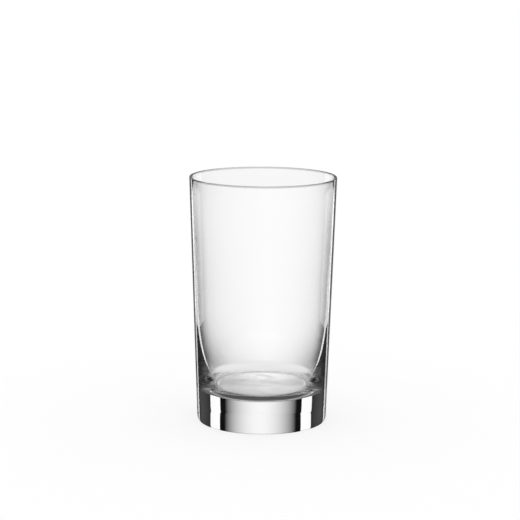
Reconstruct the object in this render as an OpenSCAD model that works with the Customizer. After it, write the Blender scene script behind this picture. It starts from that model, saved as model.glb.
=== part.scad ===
// Juice glass: a clear tumbler with gently flared straight sides, a thick
// solid base and a rounded rim. It stands on the plane z = 0 with its axis on Z.
//
// The glass is one continuous body of revolution. It is drawn here in its three
// zones, which meet face to face: the heavy base, the side wall and the rim.

/* [Glass] */
// Height from the table to the top of the rim
height = 101; // [90:1:115]
// Outer diameter of the sides, carried on up to the top of the rim
rim_d = 60; // [56:0.5:70]
// Outer diameter of the sides, carried on down to the table
foot_d = 53.2; // [48:0.1:56]

/* [Wall] */
// Wall thickness at the rim
rim_wall = 0.8; // [0.7:0.1:2]
// Wall thickness where the wall starts to thicken towards the base
body_wall = 1.7; // [1.4:0.1:2.6]
// Height at which the wall starts to thicken
swell_start = 52; // [45:1:65]
// Extra thickness that the wall has gained at the level of the cavity floor
swell = 4.6; // [3:0.1:6]
// How late the thickening comes: a higher power keeps it nearer the floor
swell_power = 2.8; // [2:0.1:4]

/* [Rim] */
// Height of the rim zone, whose edge is rounded over the full wall thickness
rim_zone_h = 4; // [3:0.5:8]

/* [Base] */
// Height of the cavity floor above the table
floor_h = 12; // [9:0.5:15]
// Width of the rounded corner between the cavity floor and the side
knuckle_w = 3.6; // [2:0.1:6]
// Height of the rounded corner between the cavity floor and the side
knuckle_h = 4.6; // [3:0.1:6]
// Height of plain side above that corner that belongs to the base
collar_h = 2; // [1:0.5:4]
// Radius of the foot's outer edge
heel_r = 1.5; // [0.3:0.1:2.5]

/* [Hidden] */
$fn = 180;
glass_colour = [0.90, 0.93, 0.94, 0.4];

// Number of straight steps that follow each curve of the outline
swell_steps = 24;
collar_steps = 3;
knuckle_steps = 10;
rim_steps = 12;
heel_steps = 10;

// The sides flare at this angle, so a wall of a given thickness is a little wider measured level
flare = atan((rim_d - foot_d) / 2 / height);
rim_wall_level = rim_wall / cos(flare);
body_wall_level = body_wall / cos(flare);

// The rim's edge is a half circle square to the sides, which the two faces of the wall run into
rim_edge_r = rim_wall / 2;
rim_edge_z = height - rim_edge_r;
rim_edge_mid = outer_r(rim_edge_z) - rim_edge_r / cos(flare);
rim_in_z = rim_edge_z + rim_edge_r * sin(flare);

// The heel's round is tangent to the table and to the sides
heel_mid = outer_r(heel_r) - heel_r / cos(flare);

// Levels at which the three zones meet
wall_z = floor_h + knuckle_h + collar_h;
rim_z = height - rim_zone_h;

// Outer radius of the sides at a level
function outer_r(z) = foot_d / 2 + z * tan(flare);

// Level thickness of the plain wall, which thins evenly from swell_start up to the rim
function plain_wall(z) =
    body_wall_level
    + (rim_wall_level - body_wall_level) * max(0, z - swell_start) / (rim_in_z - swell_start);

// Extra thickness below swell_start
function swell_at(z) =
    swell * pow(max(0, swell_start - z) / (swell_start - floor_h), swell_power);

// Width that the rounded corner takes from the cavity, as a quarter of an ellipse
function knuckle_at(z) =
    let (down_share = min(1, max(0, floor_h + knuckle_h - z) / knuckle_h))
    knuckle_w * (1 - sqrt(1 - down_share * down_share));

// Radius of the cavity at a level above its floor
function cavity_r(z) = outer_r(z) - plain_wall(z) - swell_at(z) - knuckle_at(z);

// Points of the cavity's side between two levels
function cavity_side(z_from, z_to, steps) =
    [for (i = [0 : steps]) let (z = z_from + (z_to - z_from) * i / steps) [cavity_r(z), z]];

// The rounded corner, from the side down to the floor, with steps of equal turn
function knuckle_curve() =
    [for (i = [0 : knuckle_steps])
        let (z = floor_h + knuckle_h * (1 - sin(90 * i / knuckle_steps))) [cavity_r(z), z]];

// The heel's round, from the table up to the side
function heel_curve() =
    [for (i = [0 : heel_steps])
        let (turn = -90 + (90 - flare) * i / heel_steps)
        [heel_mid + heel_r * cos(turn), heel_r + heel_r * sin(turn)]];

// The rounded edge of the rim, from the outer face over to the inner one
function rim_curve() =
    [for (i = [0 : rim_steps])
        let (turn = -flare + 180 * i / rim_steps)
        [rim_edge_mid + rim_edge_r * cos(turn), rim_edge_z + rim_edge_r * sin(turn)]];

// Turns an outline of radius and level about the axis of the glass
module turned(outline) {
    color(glass_colour)
        rotate_extrude()
            polygon(outline);
}

// The thick solid base: the flat foot, the heel, the cavity floor and the corner round it
module heavy_base() {
    turned(concat(
        [[0, 0]],
        heel_curve(),
        [[outer_r(wall_z), wall_z]],
        cavity_side(wall_z, floor_h + knuckle_h, collar_steps),
        [for (i = [1 : knuckle_steps]) knuckle_curve()[i]],
        [[0, floor_h]]
    ));
}

// The side wall, from the base to the rim zone
module side_wall() {
    turned(concat(
        [[outer_r(wall_z), wall_z], [outer_r(rim_z), rim_z], [cavity_r(rim_z), rim_z]],
        cavity_side(swell_start, wall_z, swell_steps)
    ));
}

// The rim, with its edge rounded from face to face
module rim() {
    turned(concat(
        [[cavity_r(rim_z), rim_z], [outer_r(rim_z), rim_z]],
        rim_curve()
    ));
}

heavy_base();
side_wall();
rim();
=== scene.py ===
"""A clear juice glass with a heavy base, on a white studio sweep.

The glass is turned in one piece from an outline, in metres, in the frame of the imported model. Its look comes
from what it refracts, so the studio around it is a pattern of light and dark panels that only rays through or
off the glass see.
"""

from __future__ import annotations

import logging
import math
from collections.abc import Sequence
from dataclasses import dataclass
from enum import Enum

import bmesh
import bpy
from mathutils import Matrix, Vector, noise

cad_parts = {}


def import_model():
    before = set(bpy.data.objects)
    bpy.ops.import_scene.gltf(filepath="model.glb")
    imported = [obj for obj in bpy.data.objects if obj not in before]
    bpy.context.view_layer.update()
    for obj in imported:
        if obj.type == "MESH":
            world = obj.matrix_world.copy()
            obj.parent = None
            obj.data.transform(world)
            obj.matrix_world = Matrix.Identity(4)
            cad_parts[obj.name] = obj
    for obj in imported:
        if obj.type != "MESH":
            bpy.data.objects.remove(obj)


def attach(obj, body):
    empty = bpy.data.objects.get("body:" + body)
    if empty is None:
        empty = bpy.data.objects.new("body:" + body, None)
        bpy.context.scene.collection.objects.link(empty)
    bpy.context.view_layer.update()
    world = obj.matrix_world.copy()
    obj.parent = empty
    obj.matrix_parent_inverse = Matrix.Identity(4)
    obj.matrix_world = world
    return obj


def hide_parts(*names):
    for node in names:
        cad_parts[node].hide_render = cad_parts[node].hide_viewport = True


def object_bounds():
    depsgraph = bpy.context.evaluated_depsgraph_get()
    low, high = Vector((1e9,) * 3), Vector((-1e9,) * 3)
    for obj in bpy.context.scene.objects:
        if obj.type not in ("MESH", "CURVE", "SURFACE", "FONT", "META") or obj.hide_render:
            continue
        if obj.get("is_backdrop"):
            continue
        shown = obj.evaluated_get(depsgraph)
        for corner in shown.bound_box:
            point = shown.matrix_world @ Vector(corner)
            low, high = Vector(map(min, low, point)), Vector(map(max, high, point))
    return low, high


log = logging.getLogger("juice_glass")

Point = tuple[float, float]
Stops = tuple[Point, ...]
Ring = list[bmesh.types.BMVert]
Socket = bpy.types.NodeSocket

GLASS_NODES = ("heavy_base", "side_wall", "rim")
MM = 0.001
WHITE = (1.0, 1.0, 1.0, 1.0)
HALF_TURN = 180.0
QUARTER_TURN = 90.0

# Lengths below this count as nothing, in metres
TINY = 1e-9
# The whole studio stands turned about the glass by this angle, in degrees
STUDIO_TURN = -0.6


class Op(Enum):
    """What a math node does with the numbers that it is given."""

    ABSOLUTE = "ABSOLUTE"
    ADD = "ADD"
    ARCSINE = "ARCSINE"
    ARCTAN2 = "ARCTAN2"
    BELOW = "LESS_THAN"
    ABOVE = "GREATER_THAN"
    DEGREES = "DEGREES"
    DIVIDE = "DIVIDE"
    EXPONENT = "EXPONENT"
    FOLD = "PINGPONG"
    LARGER = "MAXIMUM"
    POWER = "POWER"
    SUBTRACT = "SUBTRACT"
    TIMES = "MULTIPLY"
    TIMES_PLUS = "MULTIPLY_ADD"


class Space(Enum):
    """What a tree's coordinates are measured in: the object's own frame, or the direction of a ray."""

    OBJECT = "Object"
    DIRECTION = "Generated"


def evenly(start: float, end: float, steps: int) -> list[float]:
    """Numbers from start to end in equal steps, with both ends."""
    return [start + (end - start) * i / steps for i in range(steps + 1)]


@dataclass
class TumblerShape:
    """Sizes of the glass in metres, and the outline that they give as points of radius and level."""

    height: float
    rim_d: float = 60 * MM
    foot_d: float = 53.2 * MM
    rim_wall: float = 0.8 * MM
    body_wall: float = 1.7 * MM
    swell_start: float = 52 * MM
    swell: float = 4.6 * MM
    swell_power: float = 2.8
    floor_h: float = 12 * MM
    knuckle_w: float = 5.06 * MM
    knuckle_h: float = 4.6 * MM
    knuckle_power: float = 3.0
    heel_r: float = 4 * MM
    heel_turn: float = math.radians(30)
    foot_steps: int = 3
    heel_steps: int = 10
    side_steps: int = 6
    rim_steps: int = 20
    plain_steps: int = 8
    swell_steps: int = 50
    knuckle_steps: int = 64
    floor_steps: int = 24

    @property
    def flare(self) -> float:
        """Angle of the sides from upright, in radians."""
        return math.atan((self.rim_d - self.foot_d) / 2 / self.height)

    @property
    def foot_r(self) -> float:
        """Radius of the flat foot, out to the edge where the heel's round starts."""
        return self.heel()[0][0]

    @property
    def rim_in_z(self) -> float:
        """Level at which the rim's round meets the inner face."""
        edge_r = self.rim_wall / 2
        return self.height - edge_r + edge_r * math.sin(self.flare)

    def outer_r(self, z: float) -> float:
        """Radius of the outer face at level z."""
        return self.foot_d / 2 + z * math.tan(self.flare)

    def cavity_r(self, z: float) -> float:
        """Radius of the cavity at a level above its floor.

        Args:
            z: The level, in metres.

        Returns:
            The radius, in metres, after the plain wall, its swell and the rounded corner.
        """
        thin_share = max(0.0, z - self.swell_start) / (self.rim_in_z - self.swell_start)
        wall = (self.body_wall + (self.rim_wall - self.body_wall) * thin_share) / math.cos(self.flare)
        low_share = max(0.0, self.swell_start - z) / (self.swell_start - self.floor_h)
        wall += self.swell * low_share**self.swell_power
        down_share = min(1.0, max(0.0, self.floor_h + self.knuckle_h - z) / self.knuckle_h)
        wall += self.knuckle_w * (1 - (1 - down_share**2) ** (1 / self.knuckle_power))
        return self.outer_r(z) - wall

    def underside(self) -> list[Point]:
        """The flat foot from its middle out to the heel, without the heel."""
        return [(r, 0.0) for r in evenly(0.0, self.foot_r, self.foot_steps)[:-1]]

    def heel(self) -> list[Point]:
        """Follow the round from the table up to the side.

        Returns:
            The points of the round, with both ends.
        """
        mid_z = self.heel_r * math.sin(self.heel_turn)
        mid_r = self.outer_r(mid_z) - self.heel_r / math.cos(self.flare)
        turns = evenly(-self.heel_turn, -self.flare, self.heel_steps)
        return [(mid_r + self.heel_r * math.cos(t), mid_z + self.heel_r * math.sin(t)) for t in turns]

    def outside_wall(self) -> list[Point]:
        """Follow the outer face from the heel to the rim.

        Returns:
            The points of the face, without its ends.
        """
        low, high = self.heel()[-1], self.rim_edge()[0]
        shares = evenly(0.0, 1.0, self.side_steps)[1:-1]
        return [(low[0] + (high[0] - low[0]) * s, low[1] + (high[1] - low[1]) * s) for s in shares]

    def rim_edge(self) -> list[Point]:
        """Follow the rounded edge from the outer face over to the inner one.

        Returns:
            The points of the edge, with both ends.
        """
        edge_r = self.rim_wall / 2
        mid_z = self.height - edge_r
        mid_r = self.outer_r(mid_z) - edge_r / math.cos(self.flare)
        turns = [-self.flare + t for t in evenly(0.0, math.pi, self.rim_steps)]
        return [(mid_r + edge_r * math.cos(t), mid_z + edge_r * math.sin(t)) for t in turns]

    def inside_wall(self) -> list[Point]:
        """Follow the cavity's side from under the rim down to the edge of its floor.

        Returns:
            The points of the plain wall, the wall that thickens and the corner, which has equal turns.
        """
        corner = self.floor_h + self.knuckle_h
        levels = evenly(self.rim_in_z, self.swell_start, self.plain_steps)[1:]
        levels += evenly(self.swell_start, corner, self.swell_steps)[1:]
        turns = evenly(0.0, math.pi / 2, self.knuckle_steps)[1:]
        levels += [corner - self.knuckle_h * math.sin(t) for t in turns]
        return [(self.cavity_r(z), z) for z in levels]

    def floor(self) -> list[Point]:
        """The cavity's floor from its edge in to its middle, without the edge."""
        edge_r = self.cavity_r(self.floor_h)
        return [(edge_r * (1 - s), self.floor_h) for s in evenly(0.0, 1.0, self.floor_steps)[1:]]

    def outside(self) -> list[Point]:
        """The outline from the middle of the foot up the outer face and over the rim."""
        return self.underside() + self.heel() + self.outside_wall() + self.rim_edge()

    def inside(self) -> list[Point]:
        """The outline from under the rim down to the middle of the cavity floor."""
        return self.inside_wall() + self.floor()

    def floor_share(self, r: float, z: float) -> float:
        """How much of the floor's waves a ring has: none off the flat of the floor, all at its middle."""
        out_share = r / self.cavity_r(self.floor_h)
        return max(0.0, 1 - out_share**2) if z <= self.floor_h + TINY else 0.0


class NodeSheet:
    """Short ways to add nodes to one shader tree."""

    # Share, low and high among the inputs of a mix node, where it mixes numbers
    MIX_INPUTS = (0, 2, 3)

    def __init__(self, tree: bpy.types.NodeTree) -> None:
        """Start on an emptied tree."""
        self.tree = tree
        tree.nodes.clear()

    def add(self, kind: str) -> bpy.types.Node:
        """Add a node of a kind."""
        return self.tree.nodes.new(kind)

    def feed(self, source: Socket | float, socket: Socket) -> None:
        """Link a socket, or set a plain number, into a socket.

        Args:
            source: The socket or the number.
            socket: The input that takes it.
        """
        if isinstance(source, Socket):
            self.tree.links.new(source, socket)
        else:
            socket.default_value = source

    def math(self, operation: Op, *values: Socket | float) -> Socket:
        """Add a math node.

        Args:
            operation: What the node does.
            values: Sockets or plain numbers for its inputs, in order.

        Returns:
            The node's result.
        """
        node = self.add("ShaderNodeMath")
        node.operation = operation.value
        for socket, value in zip(node.inputs, values):
            self.feed(value, socket)
        return node.outputs["Value"]

    def at_least(self, count: Socket, number: int) -> Socket:
        """1 where a count of whole things is a number or more, and 0 elsewhere."""
        return self.math(Op.ABOVE, count, number - 0.5)

    def blend(self, share: Socket | float, low: Socket | float, high: Socket | float) -> Socket:
        """Mix two numbers.

        Args:
            share: How much of high to take, from 0 to 1.
            low: The number at a share of 0.
            high: The number at a share of 1.

        Returns:
            The mixed number.
        """
        node = self.add("ShaderNodeMix")
        for index, value in zip(self.MIX_INPUTS, (share, low, high)):
            self.feed(value, node.inputs[index])
        return node.outputs[0]

    def mix_shaders(self, share: Socket, low: Socket, high: Socket) -> Socket:
        """Mix two shaders.

        Args:
            share: How much of high to take, from 0 to 1.
            low: The shader at a share of 0.
            high: The shader at a share of 1.

        Returns:
            The mixed shader.
        """
        node = self.add("ShaderNodeMixShader")
        for socket, value in zip(node.inputs, (share, low, high)):
            self.feed(value, socket)
        return node.outputs[0]

    def rise(self, value: Socket, low: float, high: float) -> Socket:
        """Rise smoothly from 0 to 1.

        Args:
            value: The number that is looked up.
            low: The number at which the rise starts.
            high: The number at which it ends, which may be the smaller of the two.

        Returns:
            The height of the rise.
        """
        node = self.add("ShaderNodeMapRange")
        node.interpolation_type = "SMOOTHSTEP"
        for name, number in (("Value", value), ("From Min", low), ("From Max", high)):
            self.feed(number, node.inputs[name])
        return node.outputs["Result"]

    def ramp(self, value: Socket, span: float, stops: Sequence[Point]) -> Socket:
        """Follow straight lines from stop to stop.

        Args:
            value: The number that is looked up, from 0 to span.
            span: The largest such number.
            stops: Pairs of a number and the level there, in rising order.

        Returns:
            The level.
        """
        node = self.add("ShaderNodeValToRGB")
        self.feed(self.math(Op.DIVIDE, value, span), node.inputs["Fac"])
        elements = node.color_ramp.elements
        while len(elements) < len(stops):
            elements.new(1.0)
        for element, (at, level) in zip(elements, stops):
            element.position = at / span
            element.color = (level, level, level, 1.0)
        return node.outputs["Color"]

    def coordinates(self, space: Space) -> Socket:
        """Coordinates of the point or the ray that is shaded."""
        return self.add("ShaderNodeTexCoord").outputs[space.value]

    def split(self, vector: Socket) -> bpy.types.NodeOutputs:
        """Take a vector apart.

        Args:
            vector: The vector.

        Returns:
            Its numbers, under the names X, Y and Z.
        """
        node = self.add("ShaderNodeSeparateXYZ")
        self.feed(vector, node.inputs[0])
        return node.outputs

    def by_glass(self) -> Socket:
        """1 for a ray that comes through or off the glass, and 0 for any other."""
        path = self.add("ShaderNodeLightPath").outputs
        return self.math(Op.LARGER, path["Is Transmission Ray"], path["Is Glossy Ray"])


@dataclass(frozen=True)
class ClearGlass:
    """Colourless polished soda glass, with the faint unevenness of a moulded piece.

    The colour darkens where a face is seen at a grazing angle, a painted shade that darkens the glass's edges.
    The painted shade is steeper where the wall is thick, and slight where it thins towards the rim.
    """

    name: str = "clear_glass"
    ior: float = 1.5
    roughness: float = 0.0
    transmission: float = 1.0
    square_level: float = 1.0
    edge_shade_level: float = 0.2
    graze_plain: Point = (0.42, 0.9)
    graze_thick: Point = (0.44, 0.83)
    thick_levels: Point = (62 * MM, 46 * MM)
    corner_levels: Point = (16 * MM, 20 * MM)
    thin_levels: Point = (70 * MM, 99 * MM)
    thin_share: float = 0.25
    rim_shade_levels: Point = (100 * MM, 100.5 * MM)
    rim_shade_level: float = 0.65
    foot_line_shade_levels: Point = (0.7 * MM, 0.1 * MM)
    foot_line_shade_level: float = 0.55
    cord_size: float = 9 * MM
    cord_depth: float = 0.008
    cord_stretch: tuple[float, float, float] = (1.0, 1.0, 0.25)

    def material(self) -> bpy.types.Material:
        """Make the material.

        Returns:
            The finished material.
        """
        made = bpy.data.materials.new(self.name)
        made.use_nodes = True
        sheet = NodeSheet(made.node_tree)
        shader = sheet.add("ShaderNodeBsdfPrincipled")
        shader.inputs["Roughness"].default_value = self.roughness
        shader.inputs["IOR"].default_value = self.ior
        shader.inputs["Transmission Weight"].default_value = self.transmission
        z = sheet.split(sheet.coordinates(Space.OBJECT))["Z"]
        # Painted edge shade: the colour darkens where a face is seen at a grazing angle
        level = sheet.blend(self._painted_edge_shade(sheet, z), self.square_level, self.edge_shade_level)
        # Painted shade: a darker line on the rim's round, at the top of the glass
        rim_shade = sheet.rise(z, *self.rim_shade_levels)
        level = sheet.math(Op.TIMES, level, sheet.blend(rim_shade, 1.0, self.rim_shade_level))
        # Painted shade: a thin darker line at the foot's edge, only for rays straight from the camera
        first = sheet.add("ShaderNodeLightPath").outputs["Is Camera Ray"]
        foot = sheet.math(Op.TIMES, sheet.rise(z, *self.foot_line_shade_levels), first)
        level = sheet.math(Op.TIMES, level, sheet.blend(foot, 1.0, self.foot_line_shade_level))
        sheet.feed(sheet.math(Op.TIMES, level, self._cords(sheet)), shader.inputs["Base Color"])
        sheet.feed(shader.outputs[0], sheet.add("ShaderNodeOutputMaterial").inputs["Surface"])
        return made

    def _painted_edge_shade(self, sheet: NodeSheet, z: Socket) -> Socket:
        """Find how much painted edge shade a face has where it is seen at a grazing angle.

        Args:
            sheet: The sheet that takes the nodes.
            z: Level on the glass.

        Returns:
            The share of the painted shade, from 0 to 1.
        """
        facing = sheet.add("ShaderNodeLayerWeight").outputs["Facing"]
        above_floor = sheet.rise(z, *self.corner_levels)
        thick = sheet.math(Op.TIMES, sheet.rise(z, *self.thick_levels), above_floor)
        plain_graze = sheet.rise(facing, *self.graze_plain)
        graze = sheet.blend(thick, plain_graze, sheet.rise(facing, *self.graze_thick))
        thinning = sheet.rise(z, *self.thin_levels)
        return sheet.math(Op.TIMES, graze, sheet.blend(thinning, 1.0, self.thin_share))

    def _cords(self, sheet: NodeSheet) -> Socket:
        """Add faint streaks of slightly denser glass, drawn out along the axis.

        Args:
            sheet: The sheet that takes the nodes.

        Returns:
            The level of the glass, close to 1.
        """
        stretch = sheet.add("ShaderNodeMapping")
        stretch.inputs["Scale"].default_value = self.cord_stretch
        sheet.feed(sheet.coordinates(Space.OBJECT), stretch.inputs["Vector"])
        streaks = sheet.add("ShaderNodeTexNoise")
        streaks.inputs["Scale"].default_value = 1 / self.cord_size
        sheet.feed(stretch.outputs[0], streaks.inputs["Vector"])
        return sheet.math(Op.TIMES_PLUS, streaks.outputs[0], -self.cord_depth, 1 + self.cord_depth / 2)


@dataclass
class Tumbler:
    """The glass itself, turned from its outline as one smooth skin."""

    shape: TumblerShape
    finish: ClearGlass
    columns: int = 512
    wave_w: float = 6 * MM
    wave_h: float = 0.35 * MM

    def build(self) -> bpy.types.Object:
        """Turn the outline about the axis.

        Returns:
            The glass as a mesh object, linked to the scene.
        """
        skin = bmesh.new()
        rings = [self._ring(skin, r, z, 0.0) for r, z in self.shape.outside()]
        rings += [self._ring(skin, r, z, self.shape.floor_share(r, z)) for r, z in self.shape.inside()]
        for below, above in zip(rings, rings[1:]):
            self._band(skin, below, above)
        foot_edge = rings[len(self.shape.underside())]
        for vert, after in zip(foot_edge, foot_edge[1:] + foot_edge[:1]):
            skin.edges.get((vert, after)).smooth = False
        bmesh.ops.recalc_face_normals(skin, faces=skin.faces)
        mesh = bpy.data.meshes.new("tumbler")
        skin.to_mesh(mesh)
        skin.free()
        mesh.shade_smooth()
        self._straighten_heel(mesh)
        glass = bpy.data.objects.new("tumbler", mesh)
        bpy.context.scene.collection.objects.link(glass)
        return glass

    def dress(self, glass: bpy.types.Object) -> None:
        """Give the glass its finish and its body, and hide the nodes that it stands for.

        Args:
            glass: The mesh object of the glass.
        """
        glass.data.materials.append(self.finish.material())
        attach(glass, "root")
        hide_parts(*GLASS_NODES)

    def _straighten_heel(self, mesh: bpy.types.Mesh) -> None:
        """Let the heel bend light as the side above it does, so that the base's bands run on to the table.

        Args:
            mesh: The finished skin, whose normals change.
        """
        top = self.shape.heel()[-1][1]
        lean = Vector((0.0, 0.0, -math.tan(self.shape.flare)))
        normals = [(0.0, 0.0, 0.0)] * len(mesh.loops)
        for face in mesh.polygons:
            if 0.0 < face.center.z < top:
                for loop in face.loop_indices:
                    x, y, _ = mesh.vertices[mesh.loops[loop].vertex_index].co
                    normals[loop] = (Vector((x, y, 0.0)).normalized() + lean).normalized()
        mesh.normals_split_custom_set(normals)

    def _ring(self, skin: bmesh.types.BMesh, r: float, z: float, wave_share: float) -> Ring:
        """Make the vertices of one level of the outline.

        Args:
            skin: The mesh that takes them.
            r: Radius of the ring; at a radius of nothing it is one point on the axis.
            z: Level of the ring.
            wave_share: How much of the floor's waves it has, from 0 to 1.

        Returns:
            The vertices in order of turn.
        """
        count = self.columns if r > TINY else 1
        turns = [2 * math.pi * k / count for k in range(count)]
        places = [(r * math.cos(t), r * math.sin(t)) for t in turns]
        return [skin.verts.new((x, y, z + wave_share * self._wave(x, y))) for x, y in places]

    def _wave(self, x: float, y: float) -> float:
        """Height of the slight waves that the mould's plunger leaves on the cavity floor."""
        return self.wave_h * noise.noise(Vector((x, y, 0.0)) / self.wave_w)

    def _band(self, skin: bmesh.types.BMesh, low: Ring, high: Ring) -> None:
        """Make the faces between two neighbouring rings, either of which may be a point.

        Args:
            skin: The mesh that takes them.
            low: The ring that comes first along the outline.
            high: The ring that comes after it.
        """
        for k in range(self.columns):
            after = (k + 1) % self.columns
            if len(low) == 1:
                skin.faces.new((low[0], high[after], high[k]))
            elif len(high) == 1:
                skin.faces.new((low[k], low[after], high[0]))
            else:
                skin.faces.new((low[k], low[after], high[after], high[k]))


@dataclass(frozen=True)
class StudioRay:
    """What the studio reads of a ray: angles in degrees, counts, and tests that are 1 where they hold.

    The bearing is counted from straight behind the glass, and around is the bearing with its sign, before the
    studio's turn. Turns count how often the glass has mirrored the ray, and crossings how often it passed a
    face.
    """

    around: Socket
    bearing: Socket
    height: Socket
    falling: Socket
    turns: Socket
    once: Socket
    often: Socket
    crossings: Socket

    @classmethod
    def read(cls, sheet: NodeSheet) -> StudioRay:
        """Place the nodes that read the ray.

        Args:
            sheet: The sheet that takes the nodes.

        Returns:
            The readings.
        """
        way = sheet.split(sheet.coordinates(Space.DIRECTION))
        path = sheet.add("ShaderNodeLightPath").outputs
        around = sheet.math(Op.DEGREES, sheet.math(Op.ARCTAN2, way["X"], way["Y"]))
        height = sheet.math(Op.DEGREES, sheet.math(Op.ARCSINE, way["Z"]))
        turns = path["Glossy Depth"]
        return cls(
            around=around,
            bearing=sheet.math(Op.ABSOLUTE, sheet.math(Op.ADD, around, STUDIO_TURN)),
            height=height,
            falling=sheet.math(Op.BELOW, height, 0.0),
            turns=turns,
            once=sheet.at_least(turns, 1),
            often=sheet.at_least(turns, 2),
            crossings=path["Transmission Depth"],
        )


@dataclass(frozen=True)
class BasePanels:
    """What the solid base shows: a soft bright lobe at each quarter turn, with black flags at its sides.

    Behind and in front, a white strip and a grey side panel lie beyond the flags. Edges are bearings in
    degrees from the nearer of straight behind and straight in front. Rays that rise steeply see the panels
    wider.
    """

    turn_deg: float = STUDIO_TURN
    once_turn_deg: float = -1.1
    direct_spread: float = 1.02
    once_spread: float = 1.01
    steep_start: float = 14.0
    steep_gain: float = 0.006
    lobe_edge: float = 23.8
    lobe_power: float = 0.9
    lobe_steps: int = 8
    flag_edge: float = 28.5
    strip_edge: float = 39.6
    side_edge: float = 62.0
    edge_w: float = 0.4
    black: float = 0.004
    strip_level: float = 1.1
    side_low: float = 0.03
    side_high: float = 0.11

    def level(self, sheet: NodeSheet, ray: StudioRay) -> Socket:
        """Find the level that a ray meets.

        Args:
            sheet: The sheet that takes the nodes.
            ray: The readings of the ray.

        Returns:
            The level.
        """
        turn = sheet.blend(ray.once, self.turn_deg, self.once_turn_deg)
        folded = sheet.math(Op.FOLD, sheet.math(Op.ADD, ray.around, turn), QUARTER_TURN)
        excess = sheet.math(Op.LARGER, sheet.math(Op.SUBTRACT, ray.height, self.steep_start), 0.0)
        steep = sheet.math(Op.TIMES_PLUS, excess, self.steep_gain, 1.0)
        spread = sheet.math(Op.DIVIDE, sheet.blend(ray.once, self.direct_spread, self.once_spread), steep)
        return sheet.ramp(sheet.math(Op.TIMES, folded, spread), QUARTER_TURN, self._stops())

    def _stops(self) -> list[Point]:
        """Lay the panels out over a quarter turn.

        Returns:
            Pairs of a bearing and the level there.
        """
        shares = evenly(0.0, 1.0, self.lobe_steps)[:-1]
        lobe = [(self.lobe_edge * s, math.cos(math.pi / 2 * s) ** self.lobe_power) for s in shares]
        flag = [(self.lobe_edge, self.black), (self.flag_edge - self.edge_w, self.black)]
        strip = [(self.flag_edge, self.strip_level), (self.strip_edge, self.strip_level)]
        side = [(self.strip_edge + self.edge_w, self.side_low), (self.side_edge, self.side_high)]
        next_flag = [(QUARTER_TURN - self.lobe_edge, self.black)]
        next_lobe = [(QUARTER_TURN - at, level) for at, level in reversed(lobe)]
        return lobe + flag + strip + side + next_flag + next_lobe


@dataclass(frozen=True)
class TurnedPanels:
    """What shows where the glass has turned the light more than once: a soft fall from grey to dark.

    Rays that run level or rise see mostly an even grey. The stops are pairs of a bearing and the level there.
    """

    stops: Stops = (
        (0.0, 0.3),
        (59.0, 0.27),
        (65.0, 0.2),
        (75.0, 0.125),
        (88.0, 0.065),
        (106.0, 0.03),
        (115.0, 0.015),
        (180.0, 0.01),
    )
    level_heights: Point = (-6.0, 0.0)
    level_share: float = 0.7
    level_grey: float = 0.045

    def level(self, sheet: NodeSheet, ray: StudioRay) -> Socket:
        """Find the level that a ray meets.

        Args:
            sheet: The sheet that takes the nodes.
            ray: The readings of the ray.

        Returns:
            The level.
        """
        fall = sheet.ramp(ray.bearing, HALF_TURN, self.stops)
        even = sheet.math(Op.TIMES, sheet.rise(ray.height, *self.level_heights), self.level_share)
        return sheet.blend(even, fall, self.level_grey)


@dataclass(frozen=True)
class WallPanels:
    """What the wall shows where it guides light round the cavity: a bright window between dark panels.

    A window is the bearings of its two edges. It is narrower for the steeper rays that come out of the thick
    wall.
    """

    bright: float = 1.5
    dark: float = 0.03
    turned_share: float = 0.4
    plain_window: Point = (21.0, 60.0)
    thick_window: Point = (29.5, 40.0)
    thick_heights: Point = (-16.0, -18.5)
    start_blur: Point = (0.0, 2.0)
    end_blur: Point = (-1.0, 3.0)

    def level(self, sheet: NodeSheet, ray: StudioRay, turned: Socket) -> Socket:
        """Find the level that a ray meets.

        Args:
            sheet: The sheet that takes the nodes.
            ray: The readings of the ray.
            turned: Level for light that is turned more often; the panel past the window takes a share of it.

        Returns:
            The level.
        """
        thick = sheet.rise(ray.height, *self.thick_heights)
        start = sheet.blend(thick, self.plain_window[0], self.thick_window[0])
        end = sheet.blend(thick, self.plain_window[1], self.thick_window[1])
        past_start = sheet.rise(sheet.math(Op.SUBTRACT, ray.bearing, start), *self.start_blur)
        before_end = sheet.rise(sheet.math(Op.SUBTRACT, end, ray.bearing), *self.end_blur)
        dark = sheet.blend(past_start, self.dark, sheet.math(Op.TIMES, turned, self.turned_share))
        return sheet.blend(sheet.math(Op.TIMES, past_start, before_end), dark, self.bright)


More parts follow.
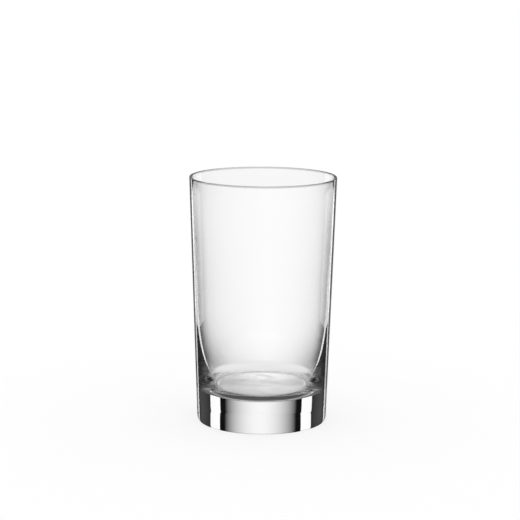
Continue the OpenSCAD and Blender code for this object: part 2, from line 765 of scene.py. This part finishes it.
@dataclass(frozen=True)
class HollowPanels:
    """What the hollow part shows: a bright panel at each quarter turn, and dimmer between for falling rays.

    A near and a far fill light up some of what lies between. Bearings and heights are in degrees, and heights
    here count downwards. The stops are pairs of a bearing and the level that light turned often meets there.
    """

    fold: float = 45.0
    panel_w: float = 12.5
    panel_power: float = 1.4
    near_start: Point = (39.0, 47.0)
    near_end: Point = (68.0, 55.0)
    far_middle: Point = (33.0, 45.0)
    far_start: Point = (90.0, 120.0)
    fill_level: float = 0.8
    dim_heights: Point = (2.0, 22.0)
    dim_depth: float = 0.8
    clear_heights: Point = (29.0, 38.0)
    clear_share: float = 0.9
    low_heights: Point = (16.0, 30.0)
    low_depth: float = 0.2
    top_level: float = 1.1
    rising_level: float = 0.8
    falling_level: float = 0.3
    deep_crossings: int = 5
    deep_level: float = 0.75
    often_stops: Stops = (
        (0.0, 0.92),
        (12.0, 0.92),
        (25.0, 0.64),
        (40.0, 0.56),
        (70.0, 0.46),
        (95.0, 0.38),
        (120.0, 0.5),
        (145.0, 0.9),
    )

    def level(self, sheet: NodeSheet, ray: StudioRay) -> Socket:
        """Find the level that a ray meets, by how often the glass has turned it.

        Args:
            sheet: The sheet that takes the nodes.
            ray: The readings of the ray.

        Returns:
            The level.
        """
        turned = sheet.blend(ray.falling, self.rising_level, self.falling_level)
        level = sheet.blend(ray.once, self._direct(sheet, ray), turned)
        deep = sheet.at_least(ray.crossings, self.deep_crossings)
        bounced = sheet.blend(deep, sheet.ramp(ray.bearing, HALF_TURN, self.often_stops), self.deep_level)
        return sheet.blend(ray.often, level, bounced)

    def _direct(self, sheet: NodeSheet, ray: StudioRay) -> Socket:
        """Find the level for a ray that goes straight through.

        Args:
            sheet: The sheet that takes the nodes.
            ray: The readings of the ray.

        Returns:
            The level.
        """
        below = sheet.math(Op.TIMES, ray.height, -1.0)
        within = sheet.math(Op.FOLD, ray.bearing, self.fold)
        spread = sheet.math(Op.POWER, sheet.math(Op.DIVIDE, within, self.panel_w), self.panel_power)
        lit = sheet.math(Op.EXPONENT, sheet.math(Op.TIMES, spread, -1.0))
        dimmed = sheet.math(Op.SUBTRACT, sheet.math(Op.SUBTRACT, 1.0, lit), self._fill(sheet, ray, within))
        cleared = sheet.rise(below, *self.clear_heights)
        slope = sheet.math(Op.TIMES_PLUS, cleared, -self.clear_share, sheet.rise(below, *self.dim_heights))
        dimmed = sheet.math(Op.TIMES, dimmed, slope)
        level = sheet.math(Op.TIMES_PLUS, dimmed, -self.dim_depth, self.top_level)
        return sheet.math(Op.TIMES_PLUS, sheet.rise(below, *self.low_heights), -self.low_depth, level)

    def _fill(self, sheet: NodeSheet, ray: StudioRay, within: Socket) -> Socket:
        """Find the light between the panels.

        Args:
            sheet: The sheet that takes the nodes.
            ray: The readings of the ray.
            within: Bearing from the nearest quarter turn.

        Returns:
            The level that the two fills add.
        """
        near_start = sheet.rise(ray.bearing, *self.near_start)
        near = sheet.math(Op.TIMES, near_start, sheet.rise(ray.bearing, *self.near_end))
        far_start = sheet.rise(ray.bearing, *self.far_start)
        far = sheet.math(Op.TIMES, sheet.rise(within, *self.far_middle), far_start)
        return sheet.math(Op.TIMES, sheet.math(Op.ADD, near, far), self.fill_level)


@dataclass
class StudioWorld:
    """The studio as rays find it: white for the camera, and light and dark panels for what the glass shows.

    The stops are pairs of a bearing and the level that the faces mirror there: a dark room with a bright
    strip at each side behind.
    """

    base: BasePanels = BasePanels()
    turned: TurnedPanels = TurnedPanels()
    wall: WallPanels = WallPanels()
    hollow: HollowPanels = HollowPanels()
    hollow_crossings: int = 3
    thrown_heights: Point = (40.0, 50.0)
    thrown_level: float = 0.1
    piped_turns: int = 13
    piped_level: float = 0.03
    overhead_heights: Point = (-56.0, -64.0)
    overhead_level: float = 0.8
    mirrored_stops: Stops = (
        (0.0, 0.3),
        (20.0, 0.25),
        (26.0, 0.03),
        (26.5, 2.0),
        (33.5, 2.0),
        (34.0, 0.03),
        (110.0, 0.03),
        (180.0, 0.3),
    )

    def build(self) -> None:
        """Make the world and hand it to the scene."""
        world = bpy.data.worlds.new("studio")
        bpy.context.scene.world = world
        world.use_nodes = True
        sheet = NodeSheet(world.node_tree)
        light = sheet.blend(sheet.by_glass(), 1.0, self._glass_light(sheet, StudioRay.read(sheet)))
        background = sheet.add("ShaderNodeBackground")
        background.inputs["Color"].default_value = WHITE
        sheet.feed(light, background.inputs["Strength"])
        sheet.feed(background.outputs[0], sheet.add("ShaderNodeOutputWorld").inputs["Surface"])

    def _glass_light(self, sheet: NodeSheet, ray: StudioRay) -> Socket:
        """Find the level for a ray that comes through or off the glass.

        Args:
            sheet: The sheet that takes the nodes.
            ray: The readings of the ray.

        Returns:
            The level.
        """
        through_hollow = sheet.at_least(ray.crossings, self.hollow_crossings)
        light = sheet.blend(through_hollow, self._solid_light(sheet, ray), self.hollow.level(sheet, ray))
        light = sheet.blend(sheet.at_least(ray.turns, self.piped_turns), light, self.piped_level)
        overhead = sheet.math(Op.TIMES, ray.often, sheet.rise(ray.height, *self.overhead_heights))
        light = sheet.blend(overhead, light, self.overhead_level)
        mirrored = sheet.ramp(ray.bearing, HALF_TURN, self.mirrored_stops)
        return sheet.blend(sheet.at_least(ray.crossings, 1), mirrored, light)

    def _solid_light(self, sheet: NodeSheet, ray: StudioRay) -> Socket:
        """Find the level for a ray that has stayed in the glass, clear of the cavity.

        Args:
            sheet: The sheet that takes the nodes.
            ray: The readings of the ray.

        Returns:
            The level.
        """
        turned = self.turned.level(sheet, ray)
        guided = sheet.math(Op.TIMES, ray.falling, ray.once)
        light = sheet.blend(guided, self.base.level(sheet, ray), self.wall.level(sheet, ray, turned))
        light = sheet.blend(ray.often, light, turned)
        thrown = sheet.math(Op.TIMES, ray.once, sheet.rise(ray.height, *self.thrown_heights))
        return sheet.blend(thrown, light, self.thrown_level)


@dataclass
class StudioFloor:
    """A white table top that the glass stands on, with a painted glow and shade under the foot that only rays
    through the glass see.

    Shares are of the foot's radius, apart from the depth glow's, which run from the foot's back to its front.
    """

    foot_r: float
    half_width: float = 3.0
    gap: float = 0.02 * MM
    shadow_share: float = 0.25
    rim_glow: float = 0.08
    side_shift: float = 0.12
    depth_glow: Stops = (
        (0.1, 1.5),
        (0.2, 1.2),
        (0.26, 0.94),
        (0.34, 0.85),
        (0.42, 1.03),
        (0.48, 0.88),
        (0.62, 0.5),
    )
    side_glow: Stops = ((0.15, 1.0), (0.3, 0.93), (0.45, 0.82), (0.6, 0.7), (0.8, 0.68), (1.0, 0.5))
    shade_ring: Point = (0.2, 0.65)
    shade_front: Point = (0.05, 0.4)
    glow_edge: Point = (0.93, 0.95)
    colour: tuple[float, float, float, float] = WHITE

    def build(self) -> None:
        """Make the table top, just under the foot, and mark it as stage."""
        mesh = bpy.data.meshes.new("table_top")
        w = self.half_width
        mesh.from_pydata([(-w, -w, 0.0), (w, -w, 0.0), (w, w, 0.0), (-w, w, 0.0)], [], [(0, 1, 2, 3)])
        table = bpy.data.objects.new("table_top", mesh)
        table.location.z = -self.gap
        bpy.context.scene.collection.objects.link(table)
        mesh.materials.append(self._material())
        table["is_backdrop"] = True

    def _material(self) -> bpy.types.Material:
        """Make white paper with a faint shadow, of which the glass shows only a painted glow and shade under
        the foot.

        Returns:
            The finished material.
        """
        made = bpy.data.materials.new("white_table")
        made.use_nodes = True
        sheet = NodeSheet(made.node_tree)
        place = sheet.coordinates(Space.OBJECT)
        length = sheet.add("ShaderNodeVectorMath")
        length.operation = "LENGTH"
        sheet.feed(place, length.inputs[0])
        out_share = sheet.math(Op.DIVIDE, length.outputs["Value"], self.foot_r)
        # Painted glow: an emission under the foot, with painted shade near its edge and front, stands in for
        # light through the glass
        under = sheet.add("ShaderNodeEmission")
        sheet.feed(self._painted_glow(sheet, place, out_share), under.inputs["Strength"])
        clear = sheet.add("ShaderNodeBsdfTransparent")
        outside = sheet.rise(out_share, *self.glow_edge)
        glass_sees = sheet.mix_shaders(outside, under.outputs[0], clear.outputs[0])
        whole = sheet.mix_shaders(sheet.by_glass(), self._paper(sheet), glass_sees)
        sheet.feed(whole, sheet.add("ShaderNodeOutputMaterial").inputs["Surface"])
        return made

    def _paper(self, sheet: NodeSheet) -> Socket:
        """Make the paper itself, white for the camera apart from a share of the shadow.

        Args:
            sheet: The sheet that takes the nodes.

        Returns:
            The paper's shader.
        """
        seen = sheet.add("ShaderNodeLightPath").outputs["Is Camera Ray"]
        paper = sheet.add("ShaderNodeBsdfDiffuse")
        paper.inputs["Color"].default_value = self.colour
        lit = sheet.math(Op.TIMES, seen, 1 - self.shadow_share)
        return sheet.mix_shaders(lit, paper.outputs[0], sheet.add("ShaderNodeEmission").outputs[0])

    def _painted_glow(self, sheet: NodeSheet, place: Socket, out_share: Socket) -> Socket:
        """Find the painted light and shade on the table under the foot, which stand in for light through the
        glass.

        Args:
            sheet: The sheet that takes the nodes.
            place: Where on the table the ray ends.
            out_share: How far that is from the axis.

        Returns:
            The strength of the painted glow, which fades to painted shade towards the front edge of the foot.
        """
        at = sheet.split(place)
        front_share = sheet.math(Op.DIVIDE, at["Y"], -self.foot_r)
        depth_share = sheet.math(Op.TIMES_PLUS, front_share, 0.5, 0.5)
        side_share = sheet.math(Op.TIMES_PLUS, at["X"], 1 / self.foot_r, -self.side_shift)
        across = sheet.ramp(sheet.math(Op.ABSOLUTE, side_share), 1.0, self.side_glow)
        middle = sheet.math(Op.TIMES, across, sheet.ramp(depth_share, 1.0, self.depth_glow))
        at_front = sheet.rise(front_share, *self.shade_front)
        fade = sheet.math(Op.TIMES, sheet.rise(out_share, *self.shade_ring), at_front)
        return sheet.blend(fade, middle, self.rim_glow)


@dataclass
class PhotoCamera:
    """The camera at the photograph's distance, height and tilt, for an image of 520 by 520 pixels.

    Shares are of the height of the glass.
    """

    height_of_glass: float
    away_share: float = 7.5
    above_share: float = 2.033
    tilt_deg: float = 10.39
    roll_deg: float = 0.40
    pan_deg: float = 0.081
    focal_px: float = 1884.0
    image_px: float = 520.0
    sensor_mm: float = 36.0

    def build(self) -> None:
        """Make the camera and hand it to the scene."""
        data = bpy.data.cameras.new("photo_camera")
        data.sensor_width = self.sensor_mm
        data.lens = self.focal_px / self.image_px * self.sensor_mm
        camera = bpy.data.objects.new("photo_camera", data)
        bpy.context.scene.collection.objects.link(camera)
        pan = Matrix.Rotation(math.radians(self.pan_deg), 4, "Z")
        tilt = Matrix.Rotation(math.radians(QUARTER_TURN - self.tilt_deg), 4, "X")
        roll = Matrix.Rotation(math.radians(self.roll_deg), 4, "Z")
        place = (0.0, -self.away_share * self.height_of_glass, self.above_share * self.height_of_glass)
        camera.matrix_world = Matrix.Translation(place) @ pan @ tilt @ roll
        bpy.context.scene.camera = camera


def set_light_depth(bounces: int = 256) -> None:
    """Let light turn often enough inside the thick glass, and show colours as they are written.

    Args:
        bounces: How often light may turn.
    """
    scene = bpy.context.scene
    scene.view_settings.view_transform = "Standard"
    scene.cycles.max_bounces = bounces
    scene.cycles.transmission_bounces = bounces
    scene.cycles.glossy_bounces = bounces


def main() -> None:
    """Build the glass, its studio and the camera, and log the glass's face count."""
    logging.basicConfig(level=logging.INFO, format="%(name)s: %(message)s")
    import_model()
    frame_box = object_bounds()
    shape = TumblerShape(height=float(frame_box[1][2]))
    PhotoCamera(shape.height).build()
    tumbler = Tumbler(shape, ClearGlass())
    glass = tumbler.build()
    tumbler.dress(glass)
    log.info("%s: %d faces", glass.name, len(glass.data.polygons))
    StudioFloor(shape.foot_d / 2).build()
    StudioWorld().build()
    set_light_depth()


if __name__ == "__main__":
    main()
